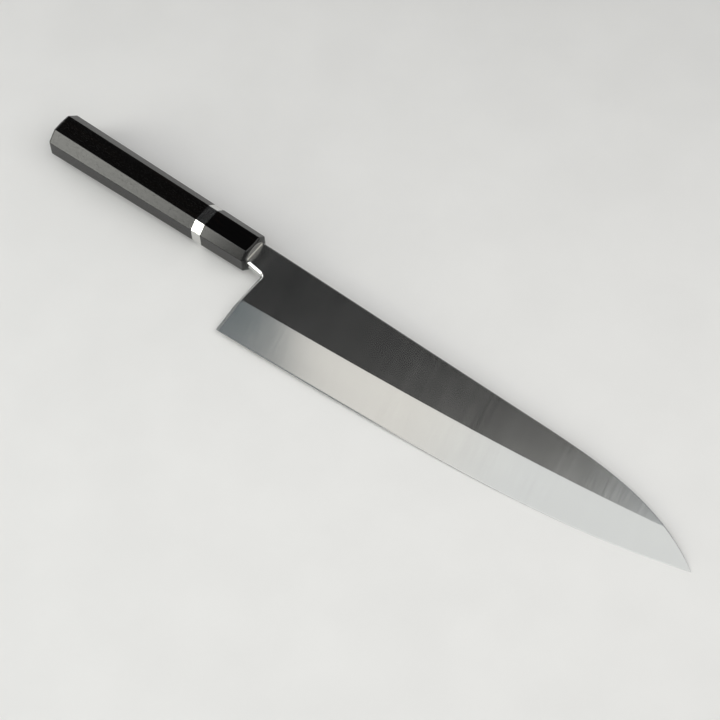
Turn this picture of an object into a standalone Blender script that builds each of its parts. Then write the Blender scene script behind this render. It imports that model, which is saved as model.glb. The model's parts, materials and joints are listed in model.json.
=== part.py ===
"""Single-bevel kitchen knife with an octagonal handle, lying on its flat side as it is put down.

Every piece is drawn in the knife's own axes: X runs from the handle to the tip and starts at the
ferrule's front face, Y runs from the cutting edge up to the spine and starts at the handle's axis,
and Z is the side that the bevel is ground on. The empty named knife then lays the pieces down, so
that the edge and the ferrule touch the ground, z = 0.
"""

import math

import bmesh
import bpy
from mathutils import Vector

# Clearance between pieces that are glued or pressed together
FIT_GAP = 0.0003

# Blade outline
EDGE_LENGTH = 0.3012
HEEL_SETBACK = 0.0125
HEEL_DROP = 0.0515
TIP_DROP = 0.0199
EDGE_RISE = 0.0123
BELLY_POWER = 4.2
SPINE_RISE = 0.00825
SPINE_SLOPE = math.radians(0.56)
POINT_LENGTH = 0.1355
POINT_POWER = 3.63
SHINOGI_RISE = 0.0157
SHINOGI_SWEEP = 0.0118
SHINOGI_POWER = 2.8

# Blade section
NECK_THICKNESS = 0.0055
POINT_THICKNESS = 0.0012
BEVEL_WIDTH = 0.0216
MICRO_BEVEL_WIDTH = 0.0005
MICRO_BEVEL_ANGLE = math.radians(17.0)
SPINE_ROUND = 0.0012
BACK_ROUND = 0.0006
CORNER_SHARE = 0.4
HOLLOW_DEPTH = 0.0005
EDGE_RIM = 0.0028
SPINE_RIM = 0.0045
HOLLOW_LEAD = 0.032
HOLLOW_RUNOUT = 0.045

# Heel notch and neck
HEEL_LEAN = math.radians(0.6)
NECK_DROP = 0.0080
NECK_SLOPE = math.radians(8.3)
CHOIL_RADIUS = 0.0025
CHOIL_ROUND = 0.0019
CHOIL_DEPTH = 0.0015
CHOIL_FULLNESS = 1.5  # 1 makes a quarter ellipse, 2 a plain chamfer
CHOIL_BACK_ROUND = 0.0005

# Tang, which tapers from the neck's shoulder to its end
TANG_LENGTH = 0.088
TANG_HEIGHT = 0.0104
TANG_THICKNESS = 0.0044
TANG_END_HEIGHT = 0.0066
TANG_END_THICKNESS = 0.0030
TANG_POINT = 0.005
TANG_ROOT = 0.006

# Handle
HANDLE_LENGTH = 0.1465
FERRULE_LENGTH = 0.0315
RING_LENGTH = 0.0062
FRONT_WIDTH = 0.0212
FRONT_HEIGHT = 0.0190
FRONT_CHAMFER = 0.00465
BUTT_WIDTH = 0.0248
BUTT_HEIGHT = 0.0229
BUTT_CHAMFER = 0.0062
BUTT_ROUND = 0.0022
BUTT_RADIUS = 0.0090
MOUTH_ROUND = 0.0016
MOUTH_RADIUS = 0.0083
FERRULE_FRONT_WALL = 0.0055
DOWEL_DIAMETER = 0.0130
DOWEL_END_WALL = 0.0050
SEAL_DEPTH = 0.0030
SEAL_WALL = 0.0010

# How far behind the tip the edge touches the ground
GROUND_SETBACK = 0.031

# Fineness of the mesh
BLADE_STATIONS = 60
STATION_CROWDING = 1.4
ROUND_STEPS = 4
HOLLOW_STEPS = 8
CHOIL_STEPS = 10
SIDE_STEPS = 4
DOWEL_SIDES = 32
SMOOTH_ANGLE = math.radians(24.0)
CUT_MARGIN = 0.003
NOTCH_REACH = 0.030
TANGENT_REACH = 0.002

# Sizes that follow from the ones above
TIP_X = HEEL_SETBACK + EDGE_LENGTH
BACK_Z = -NECK_THICKNESS / 2


def clear_scene():
    """Start from an empty file."""
    for obj in list(bpy.data.objects):
        bpy.data.objects.remove(obj, do_unlink=True)


def finish(name, colour, roughness, metallic):
    """A plain Principled material."""
    material = bpy.data.materials.new(name)
    material.use_nodes = True
    shader = material.node_tree.nodes["Principled BSDF"]
    shader.inputs["Base Color"].default_value = (*colour, 1.0)
    shader.inputs["Roughness"].default_value = roughness
    shader.inputs["Metallic"].default_value = metallic
    return material


def ease(share):
    """0 to 1 with level ends."""
    share = min(1.0, max(0.0, share))
    return share * share * (3.0 - 2.0 * share)


def loft(name, rings, parent):
    """One closed solid through rings of points that all have the same count."""
    shape = bmesh.new()
    rows = [[shape.verts.new(point) for point in ring] for ring in rings]
    for near, far in zip(rows, rows[1:]):
        for i in range(len(near)):
            j = (i + 1) % len(near)
            shape.faces.new((near[i], near[j], far[j], far[i]))
    shape.faces.new(rows[0][::-1])
    shape.faces.new(rows[-1])
    bmesh.ops.recalc_face_normals(shape, faces=shape.faces)
    mesh = bpy.data.meshes.new(name)
    shape.to_mesh(mesh)
    shape.free()
    obj = bpy.data.objects.new(name, mesh)
    bpy.context.scene.collection.objects.link(obj)
    obj.parent = parent
    return obj


def piece(obj, material):
    """Give a finished piece its material and its shading."""
    obj.data.materials.append(material)
    obj.data.shade_smooth()
    obj.data.set_sharp_from_angle(angle=SMOOTH_ANGLE)
    return obj


def helper(obj):
    """Keep a cutter or a part of another piece out of the finished model."""
    obj.hide_render = True
    obj.display_type = "WIRE"
    return obj


def combine(obj, operation, other):
    """Add a Boolean with a helper."""
    modifier = obj.modifiers.new(f"{operation.lower()} {other.name}", "BOOLEAN")
    modifier.operation = operation
    modifier.solver = "EXACT"
    modifier.object = helper(other)


def along_edge(x):
    """How far x lies from the heel towards the tip, from 0 to 1."""
    return (x - HEEL_SETBACK) / EDGE_LENGTH


def edge_line(x):
    """The cutting edge: almost straight from the heel, with a belly that lifts it to the tip."""
    share = along_edge(x)
    belly = HEEL_DROP - TIP_DROP - EDGE_RISE
    return -HEEL_DROP + EDGE_RISE * share + belly * max(0.0, share) ** BELLY_POWER


def spine_line(x):
    """The spine: straight over most of the blade, then a curve down to the tip."""
    fall = math.tan(SPINE_SLOPE)
    share = max(0.0, (x - TIP_X + POINT_LENGTH) / POINT_LENGTH)
    drop = SPINE_RISE - TIP_X * fall + TIP_DROP
    return SPINE_RISE - x * fall - drop * share**POINT_POWER


def shinogi_line(x):
    """The ridge between the flat of the blade and the wide bevel."""
    share = along_edge(x)
    sweep = SHINOGI_SWEEP * max(0.0, share) ** SHINOGI_POWER
    return BEVEL_WIDTH - HEEL_DROP + SHINOGI_RISE * share + sweep


def heel_direction():
    """Up the heel, and from the heel into the blade."""
    up = Vector((math.sin(HEEL_LEAN), math.cos(HEEL_LEAN)))
    return up, Vector((up.y, -up.x))


def neck_direction():
    """Along the neck's underside towards the blade, and from there up into the neck."""
    forward = Vector((math.cos(NECK_SLOPE), -math.sin(NECK_SLOPE)))
    return forward, Vector((-forward.y, forward.x))


def choil_centre():
    """Centre of the arc that joins the heel to the neck's underside."""
    up, into_blade = heel_direction()
    into_neck = neck_direction()[1]
    on_heel = Vector((HEEL_SETBACK, -HEEL_DROP)) - into_blade * CHOIL_RADIUS
    on_neck = Vector((0.0, -NECK_DROP)) - into_neck * CHOIL_RADIUS
    return on_heel + up * ((on_neck - on_heel).dot(into_neck) / up.dot(into_neck))


def thickness(x):
    """Full as far as the choil, then thinning evenly to the tip."""
    start = choil_centre().x + CHOIL_RADIUS + CHOIL_ROUND
    share = max(0.0, (x - start) / (TIP_X - start))
    return NECK_THICKNESS + (POINT_THICKNESS - NECK_THICKNESS) * share


def quarter_round(y, z, radius, start):
    """Points on a quarter circle round (y, z), clockwise from the angle start."""
    angles = [start - math.pi / 2 * k / ROUND_STEPS for k in range(ROUND_STEPS + 1)]
    return [(y + radius * math.cos(a), z + radius * math.sin(a)) for a in angles]


def hollow_points(x, spine, edge):
    """The shallow hollow ground into the flat back, inside its rim."""
    height = spine - edge
    low = edge + min(EDGE_RIM, height * 0.2)
    high = spine - min(SPINE_RIM, height * 0.3)
    choil = choil_centre()
    lead = ease((x - choil.x) / HOLLOW_LEAD)
    high = min(high, high + (choil.y - CHOIL_RADIUS - high) * (1.0 - lead))
    depth = HOLLOW_DEPTH * ease((TIP_X - x) / HOLLOW_RUNOUT - 0.2)
    shares = [k / HOLLOW_STEPS for k in range(HOLLOW_STEPS + 1)]
    arc = [depth * 4.0 * share * (1.0 - share) for share in shares]
    return [(high + (low - high) * s, BACK_Z + z) for s, z in zip(shares, arc)]


def blade_section(x):
    """Outline of the blade across X, clockwise from the cutting edge, as seen from the tip."""
    spine, edge, ridge = spine_line(x), edge_line(x), shinogi_line(x)
    height, bevel = spine - edge, ridge - edge
    rise = thickness(x) * min(1.0, height / bevel)
    corner = min(SPINE_ROUND, rise * CORNER_SHARE)
    back_corner = min(BACK_ROUND, corner / 2)
    flat_start = min(ridge, spine - corner)
    rise = thickness(x) * (flat_start - edge) / bevel
    micro = min(MICRO_BEVEL_WIDTH, height / 8)
    micro_rise = min(micro * math.tan(MICRO_BEVEL_ANGLE), rise / 4)
    top = BACK_Z + rise
    points = [(edge, BACK_Z), (edge + micro, BACK_Z + micro_rise), (flat_start - corner / 50, top)]
    points += quarter_round(spine - corner, top - corner, corner, math.pi / 2)
    points += quarter_round(spine - back_corner, BACK_Z + back_corner, back_corner, 0.0)
    points += hollow_points(x, spine, edge)
    return [(x, y, z) for y, z in points]


def blade_stations():
    """Places along the blade, closer together towards the tip."""
    reach = TIP_X - FIT_GAP
    for k in range(BLADE_STATIONS):
        yield FIT_GAP + reach * (1.0 - (1.0 - k / BLADE_STATIONS) ** STATION_CROWDING)


def ground_blade(parent):
    """The ground blade, still full width back to the neck's shoulder."""
    blade = loft("blade", [blade_section(x) for x in blade_stations()], parent)
    shape = bmesh.new()
    shape.from_mesh(blade.data)
    end = max(shape.faces, key=lambda face: face.calc_center_median().x)
    fan = bmesh.ops.poke(shape, faces=[end])
    fan["verts"][0].co = (TIP_X, -TIP_DROP, BACK_Z)
    shape.to_mesh(blade.data)
    shape.free()
    return blade


def notch_outline(grow):
    """Heel, choil and neck underside, moved by grow into the blade."""
    up, into_blade = heel_direction()
    forward, into_neck = neck_direction()
    centre = choil_centre()
    first = math.atan2(into_blade.y, into_blade.x)
    turn = into_blade.angle(into_neck)
    arc = []
    for k in range(CHOIL_STEPS + 1):
        angle = first + turn * k / CHOIL_STEPS
        arc.append(centre + (CHOIL_RADIUS + grow) * Vector((math.cos(angle), math.sin(angle))))
    below = Vector((HEEL_SETBACK, -HEEL_DROP)) + into_blade * grow - up * NOTCH_REACH
    behind = Vector((0.0, -NECK_DROP)) + into_neck * grow - forward * NOTCH_REACH
    corner = Vector((-NOTCH_REACH, -HEEL_DROP - NOTCH_REACH))
    return [below, *arc, behind, corner]


def notch_cutter(parent):
    """What is cut away behind the heel. It flares at both faces, which rounds the choil's edges."""
    levels = [(BACK_Z - CUT_MARGIN, CHOIL_BACK_ROUND)]
    for k in range(ROUND_STEPS + 1):
        angle = math.pi / 2 * k / ROUND_STEPS
        height = BACK_Z + CHOIL_BACK_ROUND * (1.0 - math.cos(angle))
        levels.append((height, CHOIL_BACK_ROUND * (1.0 - math.sin(angle))))
    for k in range(ROUND_STEPS, -1, -1):
        angle = math.pi / 2 * k / ROUND_STEPS
        height = -BACK_Z - CHOIL_DEPTH * (1.0 - math.cos(angle) ** CHOIL_FULLNESS)
        levels.append((height, CHOIL_ROUND * (1.0 - math.sin(angle) ** CHOIL_FULLNESS)))
    levels.append((CUT_MARGIN - BACK_Z, CHOIL_ROUND))
    rings = [[(p.x, p.y, z) for p in notch_outline(grow)] for z, grow in levels]
    return loft("notch_cutter", rings, parent)


def bar_section(x, height, width):
    """A rectangle across X."""
    y, z = height / 2, width / 2
    return [(x, -y, -z), (x, y, -z), (x, y, z), (x, -y, z)]


def tang_bar(name, parent, grow):
    """The tapering tang, or the slot that it leaves when it is grown on every side."""
    height, width = TANG_HEIGHT + 2 * grow, TANG_THICKNESS + 2 * grow
    end_height, end_width = TANG_END_HEIGHT + 2 * grow, TANG_END_THICKNESS + 2 * grow
    rings = [
        bar_section(TANG_ROOT, height, width),
        bar_section(0.0, height, width),
        bar_section(TANG_POINT - TANG_LENGTH - grow, end_height, end_width),
        bar_section(-TANG_LENGTH - grow, end_height / 2, end_width / 2),
    ]
    return loft(name, rings, parent)


def make_blade(parent):
    """Blade, neck and tang, forged in one."""
    blade = ground_blade(parent)
    combine(blade, "DIFFERENCE", notch_cutter(parent))
    combine(blade, "UNION", tang_bar("tang", parent, 0.0))
    return piece(blade, finish("ground_steel", (0.56, 0.57, 0.57), 0.28, 1.0))


def octagon(x):
    """Outline of the handle across X, which tapers from the butt to the ferrule."""
    share = -x / HANDLE_LENGTH
    y = (FRONT_WIDTH + (BUTT_WIDTH - FRONT_WIDTH) * share) / 2
    z = (FRONT_HEIGHT + (BUTT_HEIGHT - FRONT_HEIGHT) * share) / 2
    leg = FRONT_CHAMFER + (BUTT_CHAMFER - FRONT_CHAMFER) * share
    return [
        (x, y, leg - z),
        (x, y, z - leg),
        (x, y - leg, z),
        (x, leg - y, z),
        (x, -y, z - leg),
        (x, -y, leg - z),
        (x, leg - y, -z),
        (x, y - leg, -z),
    ]


def divided_octagon(x):
    """The octagon with extra points along its sides."""
    corners = [Vector(corner) for corner in octagon(x)]
    ring = []
    for here, after in zip(corners, corners[1:] + corners[:1]):
        ring += [here.lerp(after, k / SIDE_STEPS) for k in range(SIDE_STEPS)]
    return ring


def rounded_end(end, depth, radius):
    """Rings that round an end of the handle, from the octagon at depth to the round end face."""
    rings = []
    for k in range(ROUND_STEPS + 1):
        angle = math.pi / 2 * k / ROUND_STEPS
        x = end - depth * (1.0 - math.sin(angle))
        ring = []
        for point in divided_octagon(x):
            across = Vector((0.0, point.y, point.z))
            inner = across.normalized() * radius
            ring.append(Vector((x, 0.0, 0.0)) + inner.lerp(across, math.cos(angle)))
        rings.append(ring)
    return rings


def dowel_rings(stations, radius):
    """Circles across X."""
    angles = [2 * math.pi * k / DOWEL_SIDES for k in range(DOWEL_SIDES)]
    circle = [(radius * math.cos(a), radius * math.sin(a)) for a in angles]
    return [[(x, y, z) for y, z in circle] for x in stations]


def socket_cutter(name, parent, front, back):
    """The round hole that the dowel sits in."""
    return loft(name, dowel_rings((front, back), DOWEL_DIAMETER / 2 + FIT_GAP), parent)


def handle_joints():
    """Places along X of the ferrule's back, the ring's front and back, and the body's front."""
    ring_front = -FERRULE_LENGTH - FIT_GAP
    ring_back = ring_front - RING_LENGTH
    return -FERRULE_LENGTH, ring_front, ring_back, ring_back - FIT_GAP


def make_ferrule(parent):
    """Horn mouthpiece: a slot and a recess round the tang in front, a socket for the dowel behind."""
    back = handle_joints()[0]
    mouth = rounded_end(0.0, MOUTH_ROUND, MOUTH_RADIUS)
    ferrule = loft("ferrule", [divided_octagon(back), *mouth], parent)
    socket = socket_cutter("ferrule_socket", parent, -FERRULE_FRONT_WALL, back - CUT_MARGIN)
    combine(ferrule, "DIFFERENCE", socket)
    combine(ferrule, "DIFFERENCE", tang_bar("ferrule_slot", parent, FIT_GAP))
    recess = seal_block("seal_recess", parent, FIT_GAP, CUT_MARGIN)
    combine(ferrule, "DIFFERENCE", recess)
    return piece(ferrule, finish("black_horn", (0.012, 0.011, 0.010), 0.16, 0.0))


def seal_block(name, parent, grow, front):
    """The block that the seal is cut from, or the recess that it leaves when it is grown."""
    margin = 2 * (FIT_GAP + SEAL_WALL + grow)
    height, width = TANG_HEIGHT + margin, TANG_THICKNESS + margin
    ends = (-SEAL_DEPTH - grow, front)
    return loft(name, [bar_section(x, height, width) for x in ends], parent)


def make_seal(parent):
    """Resin that closes the ferrule's mouth round the tang."""
    seal = seal_block("tang_seal", parent, 0.0, 0.0)
    combine(seal, "DIFFERENCE", tang_bar("seal_slot", parent, FIT_GAP))
    return piece(seal, finish("pale_resin", (0.62, 0.60, 0.54), 0.40, 0.0))


def make_ring(parent):
    """Metal spacer between the ferrule and the handle's body."""
    front, back = handle_joints()[1:3]
    ring = loft("spacer_ring", [octagon(back), octagon(front)], parent)
    hole = socket_cutter("ring_hole", parent, front + CUT_MARGIN, back - CUT_MARGIN)
    combine(ring, "DIFFERENCE", hole)
    return piece(ring, finish("nickel_silver", (0.74, 0.73, 0.70), 0.14, 1.0))


def make_body(parent):
    """Ebony grip with a blind socket for the dowel."""
    front = handle_joints()[3]
    butt = rounded_end(-HANDLE_LENGTH, -BUTT_ROUND, BUTT_RADIUS)
    body = loft("handle_body", [divided_octagon(front), *butt], parent)
    socket_end = -TANG_LENGTH - DOWEL_END_WALL - FIT_GAP
    socket = socket_cutter("body_socket", parent, front + CUT_MARGIN, socket_end)
    combine(body, "DIFFERENCE", socket)
    return piece(body, finish("ebony", (0.018, 0.014, 0.012), 0.30, 0.0))


def make_dowel(parent):
    """Hidden wooden dowel that joins ferrule, ring and body, slotted for the tang."""
    stations = (-TANG_LENGTH - DOWEL_END_WALL, -FERRULE_FRONT_WALL - FIT_GAP)
    dowel = loft("core_dowel", dowel_rings(stations, DOWEL_DIAMETER / 2), parent)
    combine(dowel, "DIFFERENCE", tang_bar("dowel_slot", parent, FIT_GAP))
    return piece(dowel, finish("pale_wood", (0.55, 0.42, 0.27), 0.60, 0.0))


def lie_on_side(knife):
    """Turn the knife until its edge and the ferrule's lower corner both lie on the ground."""
    contact = TIP_X - GROUND_SETBACK
    near, far = contact - TANGENT_REACH, contact + TANGENT_REACH
    low = Vector((near, edge_line(near), BACK_Z))
    high = Vector((far, edge_line(far), BACK_Z))
    corner = Vector(octagon(-MOUTH_ROUND)[6])
    ground = (high - low).cross(corner - low)
    if ground.z < 0:
        ground.negate()
    knife.rotation_mode = "QUATERNION"
    knife.rotation_quaternion = ground.rotation_difference(Vector((0.0, 0.0, 1.0)))


def stand_at_origin(knife, pieces):
    """Set the lowest point at z = 0 and the middle of the plan at the origin."""
    bpy.context.view_layer.update()
    graph = bpy.context.evaluated_depsgraph_get()
    points = []
    for obj in pieces:
        solid = obj.evaluated_get(graph)
        points += [solid.matrix_world @ vertex.co for vertex in solid.data.vertices]
    low = [min(point[axis] for point in points) for axis in range(3)]
    high = [max(point[axis] for point in points) for axis in range(3)]
    knife.location = (-(low[0] + high[0]) / 2, -(low[1] + high[1]) / 2, -low[2])


def main():
    clear_scene()
    knife = bpy.data.objects.new("knife", None)
    bpy.context.scene.collection.objects.link(knife)
    makers = (make_blade, make_seal, make_ferrule, make_ring, make_dowel, make_body)
    pieces = [make(knife) for make in makers]
    lie_on_side(knife)
    stand_at_origin(knife, pieces)
    bpy.context.view_layer.update()
    print("lies at", [round(value, 5) for value in knife.location])


main()
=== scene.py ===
# %% [markdown]
# # A long single-bevel kitchen knife
#
# The knife is made of six pieces: a ground steel blade with its neck and tang, a black horn ferrule,
# a spacer ring of nickel silver, an ebony grip, a wooden core dowel that joins these three, and a
# drop of pale resin that closes the ferrule's mouth round the tang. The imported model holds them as
# plain solids. This script gives every piece that can be seen a finer mesh of the same size, with
# softly broken edges, and paints all of them with procedural finishes.

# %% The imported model
import json
import math

import bmesh
import bpy
from mathutils import Matrix, Vector


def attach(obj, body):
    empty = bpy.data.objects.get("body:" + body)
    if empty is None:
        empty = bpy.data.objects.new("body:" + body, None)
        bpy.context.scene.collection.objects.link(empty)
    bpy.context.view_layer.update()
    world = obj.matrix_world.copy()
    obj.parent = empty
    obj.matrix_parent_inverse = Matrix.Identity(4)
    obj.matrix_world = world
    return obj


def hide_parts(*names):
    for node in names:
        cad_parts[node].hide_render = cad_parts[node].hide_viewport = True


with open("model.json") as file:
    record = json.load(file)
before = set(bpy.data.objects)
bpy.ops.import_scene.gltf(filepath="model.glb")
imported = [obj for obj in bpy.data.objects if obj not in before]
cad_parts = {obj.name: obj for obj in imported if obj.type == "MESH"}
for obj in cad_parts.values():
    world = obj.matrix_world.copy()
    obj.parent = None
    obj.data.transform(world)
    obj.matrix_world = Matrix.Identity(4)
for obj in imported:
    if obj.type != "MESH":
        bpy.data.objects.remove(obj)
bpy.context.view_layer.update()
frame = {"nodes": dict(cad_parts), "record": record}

print("packed pieces:", ", ".join(sorted(frame["nodes"])))

# %% [markdown]
# ## The knife's own axes
#
# The knife lies as it is put down: on the ferrule's lower corner and on the belly of the edge, so
# it is tilted by a few degrees. Drawing a tilted knife point by point would be hard to follow. The
# meshes are drawn in the knife's own axes instead, and one matrix lays them all down. X runs from
# the handle to the tip and starts at the ferrule's front, Y runs from the edge to the spine, and Z
# is the side with the bevel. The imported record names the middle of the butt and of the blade's
# back, with the directions that they face, and that is enough to find the matrix.

# %% The lay of the knife
HANDLE_LENGTH = 0.1465

mounts = {mount["name"]: mount for mount in frame["record"]["mounts"]}
along = -Vector(mounts["butt_face"]["axis"])
upward = -Vector(mounts["blade_back"]["axis"])
across = upward.cross(along).normalized()
upward = along.cross(across).normalized()
LAY = Matrix((along, across, upward)).transposed().to_4x4()
LAY.translation = Vector(mounts["butt_face"]["pos_m"]) + along * HANDLE_LENGTH
print("ferrule's front at", [round(value, 4) for value in LAY.translation])

# %% [markdown]
# ## Tools for meshes
#
# Every piece here is a loft: rings of points, each joined to the next by a band of faces and closed
# at both ends. Primitives and extrusions would need many cuts before they look like a knife. A loft
# follows how one is shaped, by a section that changes along one axis.

# %% Lofts
def loft(name, rings):
    """A closed mesh object through rings of points."""
    shape = bmesh.new()
    rows = [[shape.verts.new(point) for point in ring] for ring in rings]
    for near, far in zip(rows, rows[1:]):
        for i in range(len(near)):
            j = (i + 1) % len(near)
            shape.faces.new((near[i], near[j], far[j], far[i]))
    shape.faces.new(rows[0][::-1])
    shape.faces.new(rows[-1])
    bmesh.ops.recalc_face_normals(shape, faces=shape.faces)
    mesh = bpy.data.meshes.new(name)
    shape.to_mesh(mesh)
    shape.free()
    obj = bpy.data.objects.new(name, mesh)
    bpy.context.scene.collection.objects.link(obj)
    return obj


# %% [markdown]
# Holes and notches are Booleans with cutters. A Boolean can stay on its object as a modifier, but
# then the cutter has to stay too. Here each one is applied at once, so that the piece ends as a
# plain mesh. Cuts leave some points doubled, which would show as flaws in the shading, so these are
# welded.

# %% Booleans
WELD_DISTANCE = 0.0000005


def combine(obj, operation, other):
    """Cut other from obj, or join it on, weld what the cut leaves doubled, and remove other."""
    modifier = obj.modifiers.new("combine", "BOOLEAN")
    modifier.operation = operation
    modifier.solver = "EXACT"
    modifier.object = other
    graph = bpy.context.evaluated_depsgraph_get()
    mesh = bpy.data.meshes.new_from_object(obj.evaluated_get(graph))
    shape = bmesh.new()
    shape.from_mesh(mesh)
    bmesh.ops.remove_doubles(shape, verts=shape.verts, dist=WELD_DISTANCE)
    bmesh.ops.dissolve_degenerate(shape, edges=shape.edges, dist=WELD_DISTANCE)
    shape.to_mesh(mesh)
    shape.free()
    obj.modifiers.clear()
    obj.data = mesh
    bpy.data.objects.remove(other, do_unlink=True)


print("cuts weld points closer than", round(1000 * WELD_DISTANCE, 4), "mm")

# %% [markdown]
# A finished piece gets its material, its sharp edges and its place. Sharp edges are marked by their
# angle, and Weighted Normal keeps large flat faces flat in the light beside narrow rounded ones.
# The piece then rides on the knife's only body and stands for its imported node.

# %% Laying a piece down
EDGE_ANGLE = math.radians(20.0)


def settle(obj, node, material, on_crease=None):
    """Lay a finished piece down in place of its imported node."""
    obj.data.materials.append(material)
    obj.data.shade_smooth()
    obj.data.set_sharp_from_angle(angle=EDGE_ANGLE)
    if on_crease:
        crisp = [on_crease(vertex.co) for vertex in obj.data.vertices]
        for edge in obj.data.edges:
            edge.use_edge_sharp |= crisp[edge.vertices[0]] and crisp[edge.vertices[1]]
    weighted = obj.modifiers.new("weighted normals", "WEIGHTED_NORMAL")
    weighted.keep_sharp = True
    obj.data.transform(LAY)
    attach(obj, "root")
    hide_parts(node)
    print(obj.name, "stands for", node, "with", len(obj.data.polygons), "faces")


print("edges sharper than", round(math.degrees(EDGE_ANGLE)), "degrees stay crisp")

# %% [markdown]
# ## Tools for shaders
#
# A finish is a short sum: so much of this noise, stretched that way, added to a colour. Written with
# nodes it fills a page, so one small class wraps a socket and lets Python's operators add the nodes.
# Numbers alone stay in Python, values go through Math nodes, vectors through Vector Math and colours
# through Mix.

# %% Sockets that Python can add up
class Field:
    """A value, vector or colour that varies over a surface."""

    def __init__(self, tree, socket):
        self.tree = tree
        self.socket = socket

    def combined(self, operation, first, second):
        kinds = [part.socket.type for part in (first, second) if isinstance(part, Field)]
        if "RGBA" in kinds:
            settings = {"data_type": "RGBA", "blend_type": operation}
            return node(self.tree, "Mix", settings, {0: 1.0, 6: first, 7: second}, 2)
        if "VECTOR" in kinds:
            return node(self.tree, "VectorMath", {"operation": operation}, {0: first, 1: second})
        return node(self.tree, "Math", {"operation": operation}, {0: first, 1: second})

    def __add__(self, other):
        return self.combined("ADD", self, other)

    def __radd__(self, other):
        return self.combined("ADD", other, self)

    def __sub__(self, other):
        return self.combined("SUBTRACT", self, other)

    def __rsub__(self, other):
        return self.combined("SUBTRACT", other, self)

    def __mul__(self, other):
        return self.combined("MULTIPLY", self, other)

    def __truediv__(self, other):
        return self.combined("DIVIDE", self, other)

    def __pow__(self, other):
        return self.combined("POWER", self, other)

    def most(self, other):
        """The larger of this value and another."""
        return self.combined("MAXIMUM", self, other)

    def parts(self):
        """The three values of a vector."""
        split = node(self.tree, "SeparateXYZ", {}, {0: self})
        return [Field(self.tree, socket) for socket in split.socket.node.outputs]

    def eased(self, low, high):
        """0 below low and 1 above high, with a smooth step between them."""
        settings = {"interpolation_type": "SMOOTHSTEP"}
        return node(self.tree, "MapRange", settings, {0: self, 1: low, 2: high})

    def blend(self, zero, one):
        """One of two colours or values, by this value."""
        if isinstance(zero, (tuple, list)) or getattr(zero, "socket", self.socket).type == "RGBA":
            return node(self.tree, "Mix", {"data_type": "RGBA"}, {0: self, 6: zero, 7: one}, 2)
        return node(self.tree, "Mix", {}, {0: self, 2: zero, 3: one})

    def grey(self):
        """This value as a grey, so that it can multiply a colour."""
        return node(self.tree, "CombineColor", {}, {0: self, 1: self, 2: self})


# %% [markdown]
# Every other node comes from one function. It sets the node's own settings first, because some of
# them change which sockets count, and then gives each socket its value or its link.

# %% Any other node
def node(tree, kind, settings, sockets, output=0):
    """Add a node: its settings first, then the values or links of its sockets."""
    added = tree.nodes.new("ShaderNode" + kind)
    for name, value in settings.items():
        setattr(added, name, value)
    for name, value in sockets.items():
        socket = added.inputs[name]
        if isinstance(value, Field):
            tree.links.new(value.socket, socket)
        elif isinstance(value, (int, float)) and socket.type in ("VECTOR", "RGBA"):
            socket.default_value = (value,) * 3 + (1.0,) * (socket.type == "RGBA")
        elif isinstance(value, (tuple, list)) and socket.type == "RGBA":
            socket.default_value = (*value, 1.0)
        else:
            socket.default_value = value
    return Field(tree, added.outputs[output])


# %% [markdown]
# Each finish starts the same way: a new material with one Principled shader, and the point on the
# surface in millimetres of the knife's own axes. Object coordinates give the point where the knife
# lies, and a Mapping node with the lay's inverse turns it back. Noise that is stretched along a
# direction is the base of nearly every finish on a knife: hairlines, wood grain, streaks of horn
# and polishing marks all are lines. The factors before x, y and z say how many cycles of noise go
# into a millimetre that way.

# %% A new finish
PER_MM = 1000.0
RAISED = LAY.inverted()


class Finish:
    """A material with one Principled shader."""

    def __init__(self, name, **constants):
        self.material = bpy.data.materials.new(name)
        self.material.use_nodes = True
        self.tree = self.material.node_tree
        self.shader = self.tree.nodes["Principled BSDF"]
        for socket, value in constants.items():
            self.shader.inputs[socket.replace("_", " ")].default_value = value
        spot = node(self.tree, "TexCoord", {}, {}, "Object")
        turn = {"Location": RAISED.translation, "Rotation": RAISED.to_euler(), "Vector": spot}
        self.place = node(self.tree, "Mapping", {}, turn) * PER_MM
        self.x, self.y, self.z = self.place.parts()

    def noise(self, point, detail=2.0, seed=0.0, rough=0.5):
        """Noise from 0 to 1 at a point whose three values are given, one unit to a cycle."""
        x, y, z = point
        spot = node(self.tree, "CombineXYZ", {}, {0: x, 1: y, 2: z + seed})
        sockets = {"Vector": spot, "Scale": 1.0, "Detail": detail, "Roughness": rough}
        return node(self.tree, "TexNoise", {}, sockets)

    def paint(self, colour, roughness, height, depth):
        """Link what varies, with a bump whose full height is depth in metres."""
        tall = {"Height": height, "Strength": 1.0, "Distance": depth}
        bump = node(self.tree, "Bump", {}, tall)
        links = {"Base Color": colour, "Roughness": roughness, "Normal": bump}
        for name, value in links.items():
            self.tree.links.new(value.socket, self.shader.inputs[name])
        return self.material


# %% [markdown]
# ## The blade's outline
#
# A single-bevel blade is drawn with three lines: the cutting edge, the spine and the ridge between
# the flat and the wide bevel, which smiths call the shinogi. Curves could be drawn by hand, but a
# formula for each line has two uses here: it places the points of the mesh, and the finish uses the
# same formula to know on which side of the ridge a point lies. So these functions take a number or
# a Field.

# %% Edge, spine and ridge
EDGE_LENGTH = 0.3012
HEEL_SETBACK = 0.0125
HEEL_DROP = 0.0515
TIP_DROP = 0.0199
EDGE_RISE = 0.0123
BELLY_POWER = 4.2
SPINE_RISE = 0.00825
SPINE_FALL = math.tan(math.radians(0.56))
POINT_LENGTH = 0.1355
POINT_POWER = 3.63
BEVEL_WIDTH = 0.0216
SHINOGI_RISE = 0.0157
SHINOGI_SWEEP = 0.0118
SHINOGI_POWER = 2.8
TIP_X = HEEL_SETBACK + EDGE_LENGTH


def not_below(value, floor):
    """The larger of a number or a Field and a number."""
    return value.most(floor) if isinstance(value, Field) else max(value, floor)


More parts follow.
